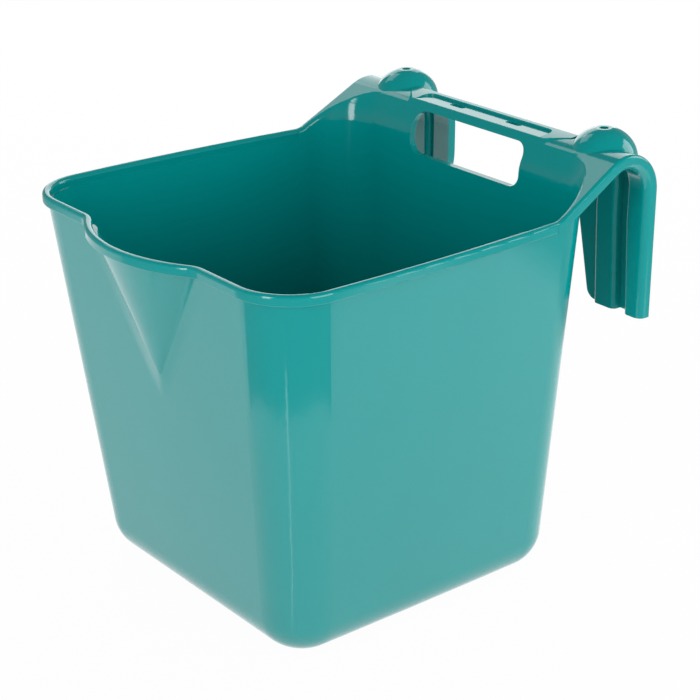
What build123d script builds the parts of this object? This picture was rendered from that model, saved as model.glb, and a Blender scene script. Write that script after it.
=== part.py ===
from build123d import *
import math
import os

# Hang-on horse feeder, one injection moulding in polypropylene.
# Millimetres. X runs across the feeder, the pouring lip faces -Y,
# the two hooks are at +Y, Z is up. The origin is on the floor,
# under the middle of the flat base.

# Tub, outer faces of the walls
rim_height = 250.0
base_half_width = 105.8
base_half_depth = 108.1
top_half_width_front = 131.5
top_half_width_back = 123.4
side_bow_bottom = 0.3
side_bow_top = 4.7
front_flare = 27.2
back_flare = 8.3
corner_radius_bottom = 30.0
corner_radius_top = 36.0
edge_margin = 3.2
wall = 2.8
floor_wall = 3.2

# Rim band that stands proud of the walls, with a rounded top
rim_band_height = 6.6
rim_band_proud = 2.4
rim_outer_round = 2.2
rim_lower_round = 0.8
rim_flat = 0.2

# Pouring lip in the middle of the front wall
lip_half_width = 57.0
lip_reach = 19.0
lip_height = 86.0
lip_blend_radius = 16.0
lip_tip_share = 0.04
lip_root = 8.0
lip_overlap = 0.15

# Back panel, which leans away from the tub above the bend
bend_rise = 10.0
bend_reach = 6.0
bend_steps = 4
lean = 0.58
flare_rise = 50.0
panel_drop = 18.0

# Hand hole through the back panel
hole_half_width = 52.8
hole_drop = 6.2
hole_height = 28.4
hole_corner_radius = 9.0
hole_frame_width = 3.0
hole_frame_depth = 1.6

# Hooks: outer profile seen from the side
hook_overhang = 2.2
hook_width = 62.4
shoulder_angle = 28.6
kink_radius = 14.0
crest_setback = 20.2
crest_rise = 1.0
crest_radius = 27.4
hook_skin = 3.2
leg_length = 84.0
straight_setback = 31.6
taper_drop = 23.0
leg_taper = 12.8
leg_taper_radius = 60.0
leg_corner_radius = 8.0

# Land beside the inner edge of each hook, a little thicker than its skin
land_depth = 5.8
land_width_top = 18.0
land_width_bottom = 8.0

# Stiffening ribs under the arch and down the inside of each leg
rib_depth = 9.8
outer_rib_width_top = 18.3
outer_rib_width_bottom = 15.0
groove_width_top = 7.7
groove_width_bottom = 8.0
rib_edge_radius = 5.2
groove_edge_radius = 4.0
land_edge_radius = 3.6
rib_start_height = 8.0
rib_start_length = 22.0

# Bosses on the crests of the hooks, each with a fixing hole
boss_setback = 9.0
boss_rise = 15.6
boss_half_width = 20.9
boss_half_depth = 23.4
boss_half_height = 21.5
boss_flat = 0.6
boss_hole_radius = 3.0

# Grip bar between the hooks
grip_rise = 27.5
grip_ridge_rise = 1.8
recess_setback = 22.0
grip_ridge_setback = 26.0
grip_back_setback = 30.5
grip_overlap = 13.8
grip_edge_radius = 2.5
grip_lip_radius = 1.2
grip_crown = 0.7
grip_wall = 3.0
recess_end_margin = 3.2
recess_corner_radius = 6.0
facet_margin = 0.8
facet_setback = 8.5
facet_size = 60.0
facet_direction = (0.39, -0.59, 0.70)
slot_length = 13.5
slot_width = 4.6
slot_spacing = 53.8
slot_setback = 16.8

# Places that follow from the sizes
base_edge_radius = corner_radius_bottom - edge_margin
rim_level = rim_height - rim_band_height
rim_inner_round = wall + rim_band_proud - rim_outer_round - rim_flat
top_front_y = -base_half_depth - front_flare
top_back_y = base_half_depth + back_flare
bend_height = rim_height + bend_rise
flare_top = rim_height + flare_rise
hole_bottom = rim_height - hole_drop
hole_top = hole_bottom + hole_height
hook_outer_x = top_half_width_back + hook_overhang
hook_inner_x = hook_outer_x - hook_width
crest_y = top_back_y + crest_setback
crest_z = rim_height + crest_rise
hook_bottom = crest_z - leg_length
taper_start = crest_z - taper_drop
slope = math.radians(shoulder_angle)
kink_y = crest_y - crest_radius * math.sin(slope)
kink_y -= (crest_z + crest_radius * math.cos(slope) - rim_height) / math.tan(slope)
rim_end_y = kink_y - kink_radius * math.tan(slope / 2)
grip_top = rim_height + grip_rise
boss_x = (hook_inner_x + hook_outer_x) / 2
boss_y = crest_y + boss_setback
boss_z = crest_z + boss_rise
far = 200.0


def between(low, high, z):
    """Value at height z on the straight line from the floor to the rim."""
    return low + (high - low) * z / rim_height


def front_y(z):
    return between(-base_half_depth, top_front_y, z)


def back_y(z):
    return between(base_half_depth, top_back_y, z)


def side_points(z, inset=0.0):
    """Front, middle and back of the bowed side wall at height z."""
    x1 = between(base_half_width, top_half_width_front, z) - inset
    x3 = between(base_half_width, top_half_width_back, z) - inset
    bow = between(side_bow_bottom, side_bow_top, z)
    y1, y3 = front_y(z) + inset, back_y(z) - inset
    return (x1, y1), ((x1 + x3) / 2 + bow, (y1 + y3) / 2), (x3, y3)


def side_at(y, z, inset):
    """Place and slope of the bowed side wall at a depth y."""
    (x1, y1), (x2, y2), (x3, y3) = side_points(z, inset)
    share = (y - y1) / (y3 - y1)
    bow = x2 - (x1 + x3) / 2
    x = x1 + (x3 - x1) * share + 4 * bow * share * (1 - share)
    return x, (x3 - x1 + 4 * bow * (1 - 2 * share)) / (y3 - y1)


def profile(items, corners=()):
    """Flat face from lines (two points) and arcs (three points), with chosen corners rounded."""
    with BuildSketch() as sk:
        with BuildLine():
            for item in items:
                if len(item) == 3:
                    ThreePointArc(*item)
                else:
                    Line(*item)
        make_face()
    face = sk.sketch
    for spot, radius in corners:
        near = [v for v in face.vertices() if math.dist((v.X, v.Y), spot) < 0.01]
        face = fillet(near, radius)
    return face


def polygon(points, corners=()):
    return profile(list(zip(points, points[1:] + points[:1])), corners)


def along_x(face, x1, x2):
    """Solid from a face drawn in Y and Z, between two X positions."""
    return extrude((Plane.YZ * face).moved(Location((x1, 0, 0))), x2 - x1, dir=(1, 0, 0))


def along_y(face):
    """Solid from a face drawn in X and Z, through everything behind the middle."""
    return extrude((Plane.XZ * face).moved(Location((0, far, 0))), far, dir=(0, -1, 0))


def box_between(x1, x2, y1, y2, z1, z2):
    base = polygon([(x1, y1), (x2, y1), (x2, y2), (x1, y2)])
    return extrude(base.moved(Location((0, 0, z1))), z2 - z1)


def outline(z, inset=0.0, level=None, shift=0.0):
    """Outline of the tub at height z, drawn on the plane at level."""
    front, middle, back = side_points(z, inset)
    face = profile([
        ((-front[0], front[1]), front), (front, middle, back), (back, (-back[0], back[1])),
        ((-back[0], back[1]), (-middle[0], middle[1]), (-front[0], front[1])),
    ])
    radius = between(corner_radius_bottom, corner_radius_top, z)
    face = fillet(face.vertices(), radius - inset)
    return face.moved(Location((0, shift, z if level is None else level)))


def body_solid(inset, bottom):
    """Tub and the flare above it, sheared towards the hooks through a soft bend."""
    low, high = bend_height - bend_reach, bend_height + bend_reach
    bends = []
    for step in range(bend_steps + 1):
        z = low + (high - low) * step / bend_steps
        bends.append(outline(z, inset, z, lean * (z - low) ** 2 / (2 * (high - low))))
    top = outline(high, inset, flare_top, lean * (flare_top - bend_height))
    tub = loft([outline(bottom, inset), bends[0]], ruled=True)
    tub = fillet(tub.edges().group_by(Axis.Z)[0], base_edge_radius - inset)
    return tub + loft(bends) + loft([bends[-1], top], ruled=True)


def lip_outline(z, share, inset):
    """Plan of the pouring lip: a wide arc with a hollow arc at each end."""
    radius = share * (lip_half_width ** 2 + lip_reach ** 2) / (2 * lip_reach)
    blend = share * lip_blend_radius
    gap = radius + blend
    middle_y = front_y(z) - share * lip_reach + radius
    end_y = front_y(z) - blend + share * lip_overlap
    x = math.sqrt(gap ** 2 - (middle_y - end_y) ** 2)
    radius, blend = radius - inset, blend + inset
    join = (x * radius / gap, middle_y + (end_y - middle_y) * radius / gap)
    turn = math.atan2(x, middle_y - end_y) / 2
    knee = (x - blend * math.sin(turn), end_y + blend * math.cos(turn))
    foot, root = (x, end_y + blend), (x, end_y + blend + lip_root)
    return profile([
        ((-foot[0], foot[1]), (-knee[0], knee[1]), (-join[0], join[1])),
        ((-join[0], join[1]), (0, middle_y - radius), join), (join, knee, foot), (foot, root),
        (root, (-root[0], root[1])), ((-root[0], root[1]), (-foot[0], foot[1])),
    ]).moved(Location((0, 0, z)))


def lip_solid(inset):
    """Cone of the pouring lip, from its tip in the front wall up to the rim."""
    tip = lip_outline(rim_height - lip_height, lip_tip_share, inset)
    return loft([tip, lip_outline(rim_height, 1.0, inset)], ruled=True)


def rim_solid(inset, bottom, height):
    """Prism of the rim with the pouring lip blended into the front wall."""
    half, root = lip_half_width, top_front_y + lip_root
    lip = profile([
        ((-half, top_front_y), (0, top_front_y - lip_reach), (half, top_front_y)),
        ((half, top_front_y), (half, root)), ((half, root), (-half, root)),
        ((-half, root), (-half, top_front_y)),
    ])
    face = outline(rim_height, 0.0, 0.0) + lip
    corners = [v for v in face.vertices() if math.dist((abs(v.X), v.Y), (half, top_front_y)) < 0.01]
    face = offset(fillet(corners, lip_blend_radius), amount=-inset)
    return extrude(face.moved(Location((0, 0, bottom))), height)


def arch_points(depth):
    """Start, middle and end of the arch, set in from the outer face by a depth."""
    radius = crest_radius - depth
    turn = math.radians(45) - slope / 2
    start = (crest_y - radius * math.sin(slope), crest_z + radius * math.cos(slope))
    middle = (crest_y + radius * math.sin(turn), crest_z + radius * math.cos(turn))
    return start, middle, (crest_y + radius, crest_z)


def under_arch(depth):
    """Everything below the hook profile, seen from the side."""
    start, middle, end = arch_points(depth)
    foot = (start[0] - far * math.cos(slope), start[1] - far * math.sin(slope))
    return profile([
        (foot, start), (start, middle, end), (end, (end[0], -far)),
        ((end[0], -far), (foot[0], -far)), ((foot[0], -far), foot),
    ])


def cap_solid():
    """Everything below the rim, the shoulders and the hooks."""
    start, middle, end = arch_points(0.0)
    kink = (kink_y, rim_height)
    face = profile([
        ((-far, rim_height), kink), (kink, start), (start, middle, end), (end, (end[0], -far)),
        ((end[0], -far), (-far, -far)), ((-far, -far), (-far, rim_height)),
    ], [(kink, kink_radius)])
    return along_x(face, -far, far)


def rounded_window(grow):
    """Hand hole as a prism along Y, grown by a margin."""
    z1, z2 = hole_bottom - grow, hole_top + grow
    x = hole_half_width + grow
    spots = [(-x, z1), (x, z1), (x, z2), (-x, z2)]
    return along_y(polygon(spots, [(spot, hole_corner_radius + grow) for spot in spots]))


def strip(x_low_bottom, x_low_top, x_high_bottom, x_high_top):
    """Tapered strip of the hook seen from the front."""
    points = [
        (x_low_top, flare_top), (x_low_top, taper_start), (x_low_bottom, hook_bottom),
        (x_high_bottom, hook_bottom), (x_high_top, taper_start), (x_high_top, flare_top),
    ]
    bends = [(points[1], x_low_top - x_low_bottom), (points[4], x_high_top - x_high_bottom)]
    return along_y(polygon(points, [(spot, leg_taper_radius) for spot, bend in bends if bend]))


def hook_limits():
    """Everything inside the right hook, seen from the front and from above."""
    points = [
        (hook_inner_x, flare_top), (hook_inner_x, taper_start), (hook_inner_x + leg_taper, hook_bottom),
        (far, hook_bottom), (far, flare_top),
    ]
    seen_from_front = polygon(points, [(points[1], leg_taper_radius), (points[2], leg_corner_radius)])
    x_root, root_slope = side_at(rim_end_y, rim_height, -rim_band_proud)
    near = (x_root, rim_end_y)
    end = (hook_outer_x, top_back_y + straight_setback)
    with BuildSketch() as plan:
        with BuildLine():
            Line((0, rim_end_y), near)
            TangentArc(near, end, tangent=(root_slope, 1.0))
            Polyline(end, (hook_outer_x, far), (0, far), (0, rim_end_y))
        make_face()
    return along_y(seen_from_front) & extrude(plan.sketch, flare_top)


def hook_layer(from_depth, to_depth):
    """Layer of the right hook between two depths below its outer face."""
    return along_x(under_arch(from_depth) - under_arch(to_depth), 0, far)


def depth_at(point):
    """Depth of a point below the outer face of the hook."""
    across, up = point.Y - crest_y, point.Z - crest_z
    if across > 0 and up < 0:
        return crest_radius - across
    if across * math.cos(slope) + up * math.sin(slope) < 0:
        return crest_radius + across * math.sin(slope) - up * math.cos(slope)
    return crest_radius - math.hypot(across, up)


def rib_edges(solid, on_high_side):
    """Long edges of a rib at its full depth, on the side away from or next to the middle."""
    chosen = []
    middle = solid.bounding_box().center().X
    for edge in solid.edges():
        start, end = edge @ 0, edge @ 1
        runs_across = abs(start.Y - end.Y) + abs(start.Z - end.Z) < 1
        if runs_across or abs(depth_at(edge @ 0.5) - rib_depth) > 0.05:
            continue
        if ((edge @ 0.5).X > middle) == on_high_side:
            chosen.append(edge)
    return chosen


def rib(x_low_bottom, x_low_top, x_high_bottom, x_high_top, low_radius, high_radius):
    """Rib below the strap and down the leg, with both of its long edges rounded."""
    solid = hook_layer(hook_skin, rib_depth) & limits
    solid = solid & strip(x_low_bottom, x_low_top, x_high_bottom, x_high_top)
    solid = fillet(rib_edges(solid, True), high_radius)
    solid = fillet(rib_edges(solid, False), low_radius)
    return solid - full - frame


def outer_edges(solid, depth):
    """Edges that run along the hook's outer side at a depth below its outer face."""
    chosen = []
    for edge in solid.edges():
        start, end = edge @ 0, edge @ 1
        runs_along = abs(start.X - end.X) < math.hypot(start.Y - end.Y, start.Z - end.Z) / 4
        if runs_along and (edge @ 0.5).X > hook_outer_x - 1 and depth_at(edge @ 0.5) < depth + 0.05:
            chosen.append(edge)
    return chosen


def both_sides(solid):
    return solid + mirror(solid, about=Plane.YZ)


def save(name, shape):
    solids = shape.solids()
    print(name, len(solids), solids[0].is_valid, round(solids[0].volume, 1))
    export_step(solids[0], f"parts/{name}.step")


os.makedirs("parts", exist_ok=True)

# Tub
full = body_solid(0.0, 0.0)
lip_outer = lip_solid(0.0)
cavity = body_solid(wall, floor_wall) + lip_solid(wall)
cap = cap_solid()
shell = ((full + lip_outer) & cap) - cavity
floor_pan = shell & box_between(-far, far, -far, far, 0, base_edge_radius)
walls_zone = box_between(-far, far, -far, far, base_edge_radius, rim_level)
pouring_lip = shell & lip_outer & walls_zone

# Mouth above the rim band: what the walls and hooks may fill, its inner edge rounded
back_zone = box_between(-far, far, rim_end_y, far, hook_bottom, flare_top)
mouth = (cap & back_zone) - cavity
inner_edges = [
    e for e in mouth.edges() if e.center().Z > rim_height and abs((e @ 0.5).X) < hook_outer_x
    and abs(depth_at(e @ 0.5)) < 0.05 and (e @ 0).Y < crest_y and e.length < far
]
mouth = fillet(inner_edges, rim_inner_round)

# Back panel with the hand hole and its frame
window = rounded_window(0.0)
panel_zone = box_between(-far, far, rim_end_y, far, rim_height - panel_drop, flare_top)
under_grip = box_between(-hook_inner_x, hook_inner_x, 0, far, hole_top, flare_top)
frame = body_solid(-hole_frame_depth, 0.0) & mouth & rounded_window(hole_frame_width)
frame = frame - under_grip
back_panel = (((full & mouth & panel_zone) - under_grip) + frame) - window
tub_walls = (shell & walls_zone) - lip_outer - panel_zone

# Rim band, its top and lower edges rounded
ring = rim_solid(-rim_band_proud, rim_level, rim_band_height)
ring = ring - rim_solid(wall, rim_level - wall, rim_band_height + 2 * wall)
ring = fillet(ring.faces().sort_by(Axis.Z)[-1].inner_wires()[0].edges(), rim_inner_round)
ring = fillet(ring.faces().sort_by(Axis.Z)[-1].outer_wire().edges(), rim_outer_round)
ring = fillet(ring.faces().sort_by(Axis.Z)[0].outer_wire().edges(), rim_lower_round)
rim_band = ring & box_between(-far, far, -far, rim_end_y, rim_level, rim_height)

# Right hook, its strap over the shoulder and crest, and its leg
fixing_hole = Cylinder(boss_hole_radius, 2 * crest_radius).moved(Location((boss_x, boss_y, boss_z)))
limits = hook_limits()
x_land = hook_inner_x + land_width_top
x_land_low = hook_inner_x + leg_taper + land_width_bottom
skin = (mouth & limits) - along_x(under_arch(hook_skin), 0, far)
skin = fillet(outer_edges(skin, 0.0), rim_outer_round)
land = hook_layer(hook_skin, land_depth) & limits & strip(0, 0, x_land_low, x_land)
hook = (skin + land) - full - frame - fixing_hole
leg_zone = box_between(0, far, crest_y, far, 0, crest_z)
hook_shoulder = hook - leg_zone
hook_leg = hook & leg_zone

# Ribs; the outer one grows out of the rim band
start = (rim_end_y + rib_start_length, rim_level + rib_start_height)
root_cut = polygon([
    (rim_end_y - wall, rim_level), (rim_end_y, rim_level), start, (start[0], 0), (rim_end_y - wall, 0),
])
x_groove = hook_outer_x - outer_rib_width_top
x_groove_low = hook_outer_x - outer_rib_width_bottom
outer_rib = rib(x_groove_low, x_groove, far, far, groove_edge_radius, rib_edge_radius)
outer_rib = outer_rib - along_x(root_cut, 0, far)
x_inner = x_groove - groove_width_top
x_inner_low = x_groove_low - groove_width_bottom
middle_rib = rib(x_land_low, x_land, x_inner_low, x_inner, land_edge_radius, groove_edge_radius)
crest_rib = middle_rib - leg_zone - fixing_hole
inner_rib = middle_rib & leg_zone

# Boss on the crest of the strap
boss_top = boss_z + boss_half_height - boss_flat
boss = scale(Sphere(1.0), by=(boss_half_width, boss_half_depth, boss_half_height))
boss = boss.moved(Location((boss_x, boss_y, boss_z)))
boss &= box_between(0, far, 0, crest_y + crest_radius, crest_z, boss_top)
boss = boss - along_x(under_arch(0.0), 0, far) - fixing_hole

# Grip bar, an inverted channel between the hooks
lean_y = back_y(bend_height + bend_reach) - wall
low_y = lean_y + lean * (hole_top - bend_height)
high_y = lean_y + lean * (grip_top - bend_height)
ridge = (top_back_y + grip_ridge_setback, grip_top + grip_ridge_rise)
turn = (top_back_y + grip_back_setback, ridge[1] - grip_back_setback + grip_ridge_setback)
crown = ((high_y + ridge[0]) / 2, grip_top + grip_crown * grip_ridge_rise)
lip = (high_y, grip_top)
grip_section = profile([
    ((low_y, hole_top), lip), (lip, crown, ridge), (ridge, turn),
    (turn, (turn[0], hole_top)), ((turn[0], hole_top), (low_y, hole_top)),
], [(ridge, grip_edge_radius), (turn, grip_edge_radius), (lip, grip_lip_radius)])
under = grip_top - grip_wall
back_inside = turn[0] - grip_wall
channel = polygon([
    (low_y + wall, hole_top), (high_y + wall - lean * grip_wall, under), (back_inside, under),
    (back_inside, 0), (low_y + wall, 0),
])
recess_x = hook_inner_x - recess_end_margin
recess_back = top_back_y + recess_setback
recess_spots = [(-recess_x, recess_back), (recess_x, recess_back)]
recess = polygon(
    recess_spots + [(recess_x, 0), (-recess_x, 0)], [(spot, recess_corner_radius) for spot in recess_spots]
)
slot = SlotOverall(slot_length, slot_width).moved(
    Location((slot_spacing / 2, top_back_y + slot_setback, grip_top))
)
facet_place = (hook_inner_x + facet_margin, top_back_y + facet_setback, grip_top)
facet = Plane(origin=facet_place, z_dir=facet_direction) * Rectangle(facet_size, facet_size)
end_x = hook_inner_x + grip_overlap
cutters = extrude(recess.moved(Location((0, 0, grip_top))), grip_rise)
cutters += both_sides(extrude(slot, 2 * grip_wall, both=True))
cutters += both_sides(extrude(facet, facet_size / 2))
cutters += both_sides(mouth & box_between(hook_inner_x, far, 0, far, 0, flare_top))
grip_bar = along_x(grip_section, -end_x, end_x)
grip_bar = grip_bar - along_x(channel, -hook_inner_x, hook_inner_x) - cutters - both_sides(boss)

nodes = dict(
    floor_pan=floor_pan, tub_walls=tub_walls, pouring_lip=pouring_lip, rim_band=rim_band,
    back_panel=back_panel, grip_bar=grip_bar,
)
right = dict(
    hook_shoulder=hook_shoulder, hook_leg=hook_leg, outer_rib=outer_rib, inner_rib=inner_rib,
    crest_rib=crest_rib, boss=boss,
)
for name, shape in right.items():
    nodes["right_" + name] = shape
    nodes["left_" + name] = mirror(shape, about=Plane.YZ)
for name, shape in nodes.items():
    save(name, shape)
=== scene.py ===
import math

import bpy
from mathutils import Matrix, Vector

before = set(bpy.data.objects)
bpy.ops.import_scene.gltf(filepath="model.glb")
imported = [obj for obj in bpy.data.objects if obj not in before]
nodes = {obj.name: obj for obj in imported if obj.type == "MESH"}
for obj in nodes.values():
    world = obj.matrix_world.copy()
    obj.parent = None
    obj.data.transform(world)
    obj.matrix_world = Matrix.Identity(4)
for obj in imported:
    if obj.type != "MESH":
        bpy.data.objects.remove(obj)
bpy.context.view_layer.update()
mm = 0.001  # the scene is in metres
print("frame loaded:", len(nodes), "nodes")


def hexColour(text, alpha=1.0):
    # sRGB hex to the linear values that the shader works in
    parts = [int(text[i:i + 2], 16) / 255 for i in (1, 3, 5)]
    linear = [p / 12.92 if p <= 0.04045 else ((p + 0.055) / 1.055) ** 2.4 for p in parts]
    return (*linear, alpha)


def addNode(tree, kind, settings=None, values=None, links=None):
    # one node, with its properties, socket values and incoming links
    node = tree.nodes.new(kind)
    for name, value in (settings or {}).items():
        setattr(node, name, value)
    for socket, value in (values or {}).items():
        node.inputs[socket].default_value = value
    for socket, source in (links or {}).items():
        tree.links.new(source, node.inputs[socket])
    return node


def newMaterial(name):
    material = bpy.data.materials.new(name)
    material.use_nodes = True
    material.node_tree.nodes.clear()
    return material, material.node_tree


# Camera, from the photograph's viewing angle
cameraView = {
    "place": (0.87811, -0.68543, 0.61015),  # metres
    "azimuth": 51.23,                       # degrees round from -Y
    "elevation": 22.63,                     # degrees above the horizon
    "lens": 97.152,                         # mm on a 36 mm sensor
}
bpy.ops.object.camera_add(
    location=cameraView["place"],
    rotation=(math.radians(90 - cameraView["elevation"]), 0, math.radians(cameraView["azimuth"])),
)
camera = bpy.context.object
camera.name = "camera"
camera.data.lens = cameraView["lens"]
camera.data.sensor_fit = "HORIZONTAL"
bpy.context.scene.camera = camera
bpy.context.scene.view_settings.view_transform = "Standard"
print("camera set")

# Five soft lamps: places, aims and sizes in metres, powers in watts
lamps = {
    "keyLamp": {
        "place": (0.5, -2.0, 0.75), "aim": (0, -0.05, 0.12), "size": (0.5, 1.7), "power": 18.0,
    },
    "sideLamp": {
        "place": (1.9, 0.3, 0.55), "aim": (0, 0, 0.12), "size": (1.2, 1.2), "power": 16.5,
    },
    "backLamp": {
        "place": (-1.25, 1.0, 0.75), "aim": (0, 0.1, 0.25), "size": (1.3, 1.3), "power": 9.5,
    },
    "topLamp": {
        "place": (-1.10, 0.10, 1.35), "aim": (0.09, 0.12, 0.26), "size": (0.7, 0.7), "power": 2.2,
    },
    "rearLamp": {
        "place": (0.7, 1.7, 0.8), "aim": (0, 0.15, 0.15), "size": (1.0, 1.0), "power": 9.0,
    },
}


def addLamp(name, place, aim, size, power):
    turn = (Vector(aim) - Vector(place)).to_track_quat("-Z", "Y").to_euler()
    bpy.ops.object.light_add(type="AREA", location=place, rotation=turn)
    lamp = bpy.context.object
    lamp.name = name
    lamp.data.shape = "RECTANGLE"
    lamp.data.size, lamp.data.size_y = size
    lamp.data.energy = power


for name, lamp in lamps.items():
    addLamp(name, **lamp)
print("lamps set:", len(lamps))


def seenAsWhite(tree):
    # rays that go straight to the background, where it is plain white
    path = addNode(tree, "ShaderNodeLightPath")
    return path, addNode(tree, "ShaderNodeMath", {"operation": "MAXIMUM"}, None, {
        0: path.outputs["Is Camera Ray"], 1: path.outputs["Is Transmission Ray"],
    })


# Room round the sheet, lighter at the horizon than overhead
room = {
    "skyHorizon": 0.95, "skyTop": 0.32,        # light on matt surfaces
    "mirrorHorizon": 0.30, "mirrorTop": 0.10,  # what glossy surfaces see
    "changeFrom": 0.05, "changeTo": 0.6,       # upward part of the direction, 0 to 1
}


def paintRoom():
    world = bpy.data.worlds.new("whiteRoom")
    bpy.context.scene.world = world
    world.use_nodes = True
    tree = world.node_tree
    tree.nodes.clear()
    path, white = seenAsWhite(tree)
    way = addNode(tree, "ShaderNodeTexCoord")
    up = addNode(tree, "ShaderNodeSeparateXYZ", None, None, {0: way.outputs["Generated"]})
    matt, glossy = [
        addNode(tree, "ShaderNodeMapRange", {"interpolation_type": "SMOOTHSTEP"}, {
            "From Min": room["changeFrom"], "From Max": room["changeTo"],
            "To Min": room[kind + "Horizon"], "To Max": room[kind + "Top"],
        }, {"Value": up.outputs["Z"]})
        for kind in ("sky", "mirror")
    ]
    lit = addNode(tree, "ShaderNodeMix", None, None, {
        "Factor": path.outputs["Is Glossy Ray"], "A": matt.outputs[0], "B": glossy.outputs[0],
    })
    level = addNode(tree, "ShaderNodeMix", None, {"B": 1.0},
                    {"Factor": white.outputs[0], "A": lit.outputs[0]})
    sky = addNode(tree, "ShaderNodeBackground", None, {"Color": (1, 1, 1, 1)},
                  {"Strength": level.outputs[0]})
    addNode(tree, "ShaderNodeOutputWorld", None, None, {"Surface": sky.outputs[0]})


paintRoom()
print("room set")

# Floor sheet; for glossy rays it glows with painted reflections: a painted dark zone on the camera
# side and away from the object, and a painted bright strip, which paint a dark streak and a thin
# light line on the tub's near corner
sheet = {
    "size": 8.0, "drop": 0.0002,     # metres; it lies just under the base
    "shown": 0.97,                   # share of plain white where the camera looks at it
    "paper": 0.9,                    # share of the light that the paper sends back
    "corner": (0.100, -0.115, 0),    # metres, middle of the tub's near corner
    "gapAhead": 0.212, "gapAside": 0.285,    # metres of white between that corner and the painted dark zone
    "gapBlur": 0.05,                         # blur of that border, as a share of the gap
    "leftEdge": -136.5, "rightEdge": 38.0,   # degrees round the corner where the painted dark zone ends
    "edgeBlur": 2.0,                         # degrees
    "middle": (0, -0.10, 0), "radius": 0.84, "back": 0.45, "blur": 0.04,  # metres, outer border of the white, beyond which the sheet glows painted dark for glossy rays
    "mirrorPaintedDark": 0.38, "mirrorWhite": 1.15, "mirrorPaintedStrip": 2.6,          # what glossy surfaces see: painted dark reflection, white, and the painted bright strip
    "strip": -51.0, "stripHalf": 1.6,        # painted bright strip, degrees round the corner
    "stripFade": 1.15, "stripEnd": 1.30,     # where it fades out, in gaps from the corner
}


def paintedDarkAway(tree, spot):
    # 1 outside the sheet's outer border, 0 inside: the painted dark zone that glossy rays see
    reach = addNode(tree, "ShaderNodeVectorMath", {"operation": "DISTANCE"}, {1: sheet["middle"]},
                    {0: spot.outputs["Object"]})
    place = addNode(tree, "ShaderNodeSeparateXYZ", None, None, {0: spot.outputs["Object"]})
    outside, behind = [
        addNode(tree, "ShaderNodeMapRange", None, {
            "From Min": sheet[border] - sheet["blur"], "From Max": sheet[border] + sheet["blur"],
        }, {"Value": source})
        for border, source in (("radius", reach.outputs["Value"]), ("back", place.outputs["Y"]))
    ]
    return addNode(tree, "ShaderNodeMath", {"operation": "MAXIMUM"}, None,
                   {0: outside.outputs[0], 1: behind.outputs[0]})


def paintedDarkAhead(tree, angle, gaps):
    # 1 on the camera side, beyond the oval of white round the near corner, 0 elsewhere: the painted
    # dark zone that glossy rays see
    beyond = addNode(tree, "ShaderNodeMapRange", None, {
        "From Min": 1 - sheet["gapBlur"], "From Max": 1 + sheet["gapBlur"],
    }, {"Value": gaps.outputs["Value"]})
    pastLeft, pastRight = [
        addNode(tree, "ShaderNodeMapRange", None, {
            "From Min": math.radians(sheet[edge] - side * sheet["edgeBlur"]),
            "From Max": math.radians(sheet[edge] + side * sheet["edgeBlur"]),
        }, {"Value": angle.outputs[0]})
        for edge, side in (("leftEdge", 1), ("rightEdge", -1))
    ]
    sector = addNode(tree, "ShaderNodeMath", {"operation": "MULTIPLY"}, None,
                     {0: pastLeft.outputs[0], 1: pastRight.outputs[0]})
    return addNode(tree, "ShaderNodeMath", {"operation": "MULTIPLY"}, None,
                   {0: sector.outputs[0], 1: beyond.outputs[0]})


def paintedBrightStrip(tree, angle, gaps):
    # 1 on the painted bright strip, whose glow for glossy rays paints the thin light line down the
    # near corner, 0 elsewhere
    within = addNode(tree, "ShaderNodeMath", {"operation": "COMPARE"}, {
        1: math.radians(sheet["strip"]), 2: math.radians(sheet["stripHalf"]),
    }, {0: angle.outputs[0]})
    near = addNode(tree, "ShaderNodeMapRange", None, {
        "From Min": sheet["stripFade"], "From Max": sheet["stripEnd"], "To Min": 1.0, "To Max": 0.0,
    }, {"Value": gaps.outputs["Value"]})
    return addNode(tree, "ShaderNodeMath", {"operation": "MULTIPLY"}, None,
                   {0: within.outputs[0], 1: near.outputs[0]})


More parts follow.
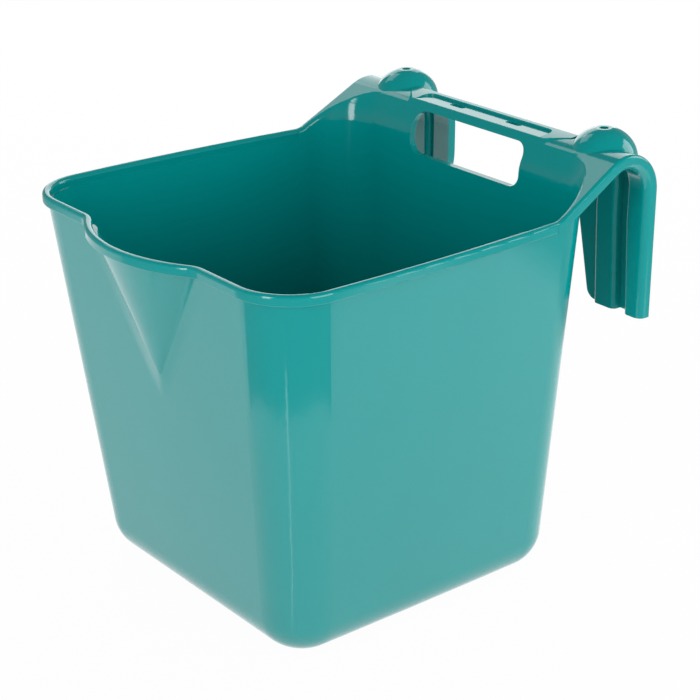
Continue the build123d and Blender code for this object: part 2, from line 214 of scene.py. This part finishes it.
def floorMaterial():
    material, tree = newMaterial("matt white paper sheet on a table")
    path, white = seenAsWhite(tree)
    spot = addNode(tree, "ShaderNodeTexCoord")
    # direction from the near corner, and distance from it in gaps of white
    fromCorner = addNode(tree, "ShaderNodeVectorMath", {"operation": "SUBTRACT"},
                         {1: sheet["corner"]}, {0: spot.outputs["Object"]})
    split = addNode(tree, "ShaderNodeSeparateXYZ", None, None, {0: fromCorner.outputs["Vector"]})
    angle = addNode(tree, "ShaderNodeMath", {"operation": "ARCTAN2"}, None,
                    {0: split.outputs["Y"], 1: split.outputs["X"]})
    oval = addNode(tree, "ShaderNodeMapping", {"vector_type": "TEXTURE"}, {
        "Location": sheet["corner"], "Rotation": (0, 0, math.radians(sheet["strip"])),
        "Scale": (sheet["gapAhead"], sheet["gapAside"], 1),
    }, {"Vector": spot.outputs["Object"]})
    gaps = addNode(tree, "ShaderNodeVectorMath", {"operation": "LENGTH"}, None,
                   {0: oval.outputs[0]})
    paintedDark = addNode(tree, "ShaderNodeMath", {"operation": "MAXIMUM"}, None, {
        0: paintedDarkAway(tree, spot).outputs[0], 1: paintedDarkAhead(tree, angle, gaps).outputs[0],
    })
    # painted reflection: glossy rays see the sheet glow dark in the painted dark zone, white
    # elsewhere, and bright on the painted strip
    mirrored = addNode(tree, "ShaderNodeMapRange", None, {
        "To Min": sheet["mirrorWhite"], "To Max": sheet["mirrorPaintedDark"],
    }, {"Value": paintedDark.outputs[0]})
    striped = addNode(tree, "ShaderNodeMix", None, {"B": sheet["mirrorPaintedStrip"]}, {
        "Factor": paintedBrightStrip(tree, angle, gaps).outputs[0], "A": mirrored.outputs[0],
    })
    strength = addNode(tree, "ShaderNodeMix", None, {"A": 1.0},
                       {"Factor": path.outputs["Is Glossy Ray"], "B": striped.outputs[0]})
    shown = addNode(tree, "ShaderNodeMath", {"operation": "MULTIPLY"}, {1: sheet["shown"]},
                    {0: white.outputs[0]})
    share = addNode(tree, "ShaderNodeMath", {"operation": "MAXIMUM"}, None,
                    {0: shown.outputs[0], 1: path.outputs["Is Glossy Ray"]})
    paper = addNode(tree, "ShaderNodeBsdfDiffuse", None, {"Color": (sheet["paper"],) * 3 + (1,)})
    glow = addNode(tree, "ShaderNodeEmission", None, {"Color": (1, 1, 1, 1)},
                   {"Strength": strength.outputs[0]})
    mix = addNode(tree, "ShaderNodeMixShader", None, None,
                  {0: share.outputs[0], 1: paper.outputs[0], 2: glow.outputs[0]})
    addNode(tree, "ShaderNodeOutputMaterial", None, None, {"Surface": mix.outputs[0]})
    return material


bpy.ops.mesh.primitive_plane_add(size=sheet["size"], location=(0, 0, -sheet["drop"]))
floor = bpy.context.object
floor.name = "floor"
floor.data.materials.append(floorMaterial())
print("floor set")

# Spout: how far its creases are rounded off where the cone runs out into the front wall
spoutBlend = {
    "tipHeight": 160.4, "rimHeight": 250.0,  # mm
    "mouthHalf": 57.8,                       # mm from the middle to the crease at the rim
    "width": 12.0, "turn": 0.33,             # mm each side, and the slope at the crease
    "soft": 4.0,                             # mm over which the crease itself is rounded
}


def softAbsolute(tree, source, soft):
    # distance from zero, rounded off where it would turn sharply
    pair = addNode(tree, "ShaderNodeCombineXYZ", None, {1: soft}, {0: source})
    return addNode(tree, "ShaderNodeVectorMath", {"operation": "LENGTH"}, None,
                   {0: pair.outputs[0]})


def spoutFillet(tree, spot):
    # height in metres of the plastic that fills the hollow crease of the spout
    tip, rim = spoutBlend["tipHeight"] * mm, spoutBlend["rimHeight"] * mm
    half, width = spoutBlend["mouthHalf"] * mm, spoutBlend["width"] * mm
    soft = spoutBlend["soft"] * mm
    slant = math.hypot(half, rim - tip)
    split = addNode(tree, "ShaderNodeSeparateXYZ", None, None, {0: spot.outputs["Object"]})
    side = softAbsolute(tree, split.outputs["X"], soft)
    across = addNode(tree, "ShaderNodeMath", {"operation": "MULTIPLY"}, {1: (rim - tip) / slant},
                     {0: side.outputs["Value"]})
    along = addNode(tree, "ShaderNodeMath", {"operation": "MULTIPLY_ADD"}, {
        1: half / slant, 2: -tip * half / slant,
    }, {0: split.outputs["Z"]})
    offset = addNode(tree, "ShaderNodeMath", {"operation": "SUBTRACT"}, None,
                     {0: across.outputs[0], 1: along.outputs[0]})
    distance = softAbsolute(tree, offset.outputs[0], soft / 2)
    close = addNode(tree, "ShaderNodeMapRange", None, {
        "From Max": width, "To Min": 1.0, "To Max": 0.0,
    }, {"Value": distance.outputs["Value"]})
    bowl = addNode(tree, "ShaderNodeMath", {"operation": "POWER"}, {1: 2.0}, {0: close.outputs[0]})
    # full depth at the tip, none at the rim, whose own band is rounded in the solid
    fade = addNode(tree, "ShaderNodeMapRange", None, {
        "From Min": tip, "From Max": rim, "To Min": spoutBlend["turn"] * width / 2, "To Max": 0.0,
    }, {"Value": split.outputs["Z"]})
    front = addNode(tree, "ShaderNodeMath", {"operation": "LESS_THAN"}, {1: 0.0},
                    {0: split.outputs["Y"]})
    height = addNode(tree, "ShaderNodeMath", {"operation": "MULTIPLY"}, None,
                     {0: bowl.outputs[0], 1: fade.outputs[0]})
    return addNode(tree, "ShaderNodeMath", {"operation": "MULTIPLY"}, None,
                   {0: height.outputs[0], 1: front.outputs[0]})


# Polypropylene, coloured through and moulded against polished steel; sizes in mm
plasticLook = {
    "teal": "#009493", "tealDeep": "#008D8C",
    "ior": 1.49, "specular": 0.62,
    "flowSize": 80.0, "flowStretch": 0.35, "flowTwist": 0.4,    # pigment clouds, drawn out upwards
    "polishSize": 30.0, "polishLow": 0.07, "polishHigh": 0.12,  # roughness
    "polishFrom": 0.3, "polishTo": 0.7,                         # part of the noise that is used
    "scuffsPerMm": 1.2, "scuffStretch": 0.06,       # drawn wider than real ones, to show
    "scuffTurn": (0.3, 0.5, 0.9),                   # radians
    "scuffFrom": 0.66, "scuffTo": 0.74, "scuffRoughness": 0.10,
    "waveSize": 55.0, "waveDepth": 0.16,            # slow waves of the cooled walls
    "grainSize": 1.1, "grainDepth": 0.012,          # tool grain, drawn coarse enough to show
}


def polypropylene(name, withSpout=False):
    material, tree = newMaterial(name)
    look = plasticLook
    spot = addNode(tree, "ShaderNodeTexCoord")
    # gives the eye clouds of slightly deeper pigment along the flow of the melt
    drawn = addNode(tree, "ShaderNodeMapping", None, {"Scale": (1, 1, look["flowStretch"])},
                    {"Vector": spot.outputs["Object"]})
    flow = addNode(tree, "ShaderNodeTexNoise", None, {
        "Scale": 1 / (look["flowSize"] * mm), "Detail": 3.0, "Roughness": 0.5,
        "Distortion": look["flowTwist"],
    }, {"Vector": drawn.outputs[0]})
    pigment = addNode(tree, "ShaderNodeMix", {"data_type": "RGBA"}, {
        6: hexColour(look["teal"]), 7: hexColour(look["tealDeep"]),
    }, {0: flow.outputs["Fac"]})
    # gives patches of higher and lower polish, so that highlights are never even
    polish = addNode(tree, "ShaderNodeTexNoise", None, {
        "Scale": 1 / (look["polishSize"] * mm), "Detail": 5.0, "Roughness": 0.6,
    }, {"Vector": spot.outputs["Object"]})
    shine = addNode(tree, "ShaderNodeMapRange", None, {
        "From Min": look["polishFrom"], "From Max": look["polishTo"],
        "To Min": look["polishLow"], "To Max": look["polishHigh"],
    }, {"Value": polish.outputs["Fac"]})
    # gives hair-fine scuffs from stacking and handling
    turned = addNode(tree, "ShaderNodeMapping", None, {
        "Rotation": look["scuffTurn"], "Scale": (1, look["scuffStretch"], 1),
    }, {"Vector": spot.outputs["Object"]})
    hair = addNode(tree, "ShaderNodeTexNoise", None, {
        "Scale": look["scuffsPerMm"] / mm, "Detail": 2.0, "Roughness": 0.5,
    }, {"Vector": turned.outputs[0]})
    scuff = addNode(tree, "ShaderNodeMapRange", None, {
        "From Min": look["scuffFrom"], "From Max": look["scuffTo"],
        "To Min": 0.0, "To Max": look["scuffRoughness"],
    }, {"Value": hair.outputs["Fac"]})
    roughness = addNode(tree, "ShaderNodeMath", {"operation": "ADD"}, None,
                        {0: shine.outputs[0], 1: scuff.outputs[0]})
    # gives slow waves that bend reflections, then the grain of the tool
    waves = addNode(tree, "ShaderNodeTexNoise", None, {
        "Scale": 1 / (look["waveSize"] * mm), "Detail": 1.0, "Roughness": 0.4,
    }, {"Vector": drawn.outputs[0]})
    wavy = addNode(tree, "ShaderNodeBump", None, {
        "Strength": 1.0, "Distance": look["waveDepth"] * mm,
    }, {"Height": waves.outputs["Fac"]})
    if withSpout:
        filled = addNode(tree, "ShaderNodeBump", None, {"Strength": 1.0, "Distance": 1.0},
                         {"Height": spoutFillet(tree, spot).outputs[0]})
        tree.links.new(filled.outputs[0], wavy.inputs["Normal"])
    grain = addNode(tree, "ShaderNodeTexNoise", None, {
        "Scale": 1 / (look["grainSize"] * mm), "Detail": 2.0, "Roughness": 0.5,
    }, {"Vector": spot.outputs["Object"]})
    grained = addNode(tree, "ShaderNodeBump", None, {
        "Strength": 1.0, "Distance": look["grainDepth"] * mm,
    }, {"Height": grain.outputs["Fac"], "Normal": wavy.outputs[0]})
    shader = addNode(tree, "ShaderNodeBsdfPrincipled", None, {
        "IOR": look["ior"], "Specular IOR Level": look["specular"],
    }, {"Base Color": pigment.outputs[2], "Roughness": roughness.outputs[0],
        "Normal": grained.outputs[0]})
    addNode(tree, "ShaderNodeOutputMaterial", None, None, {"Surface": shader.outputs[0]})
    return material


plastic = polypropylene("injection-moulded polypropylene")
spoutPlastic = polypropylene("injection-moulded polypropylene round the spout", withSpout=True)
for name, node in nodes.items():
    node.data.materials.clear()
    node.data.materials.append(spoutPlastic if name in ("tub_walls", "pouring_lip") else plastic)
print("materials set")
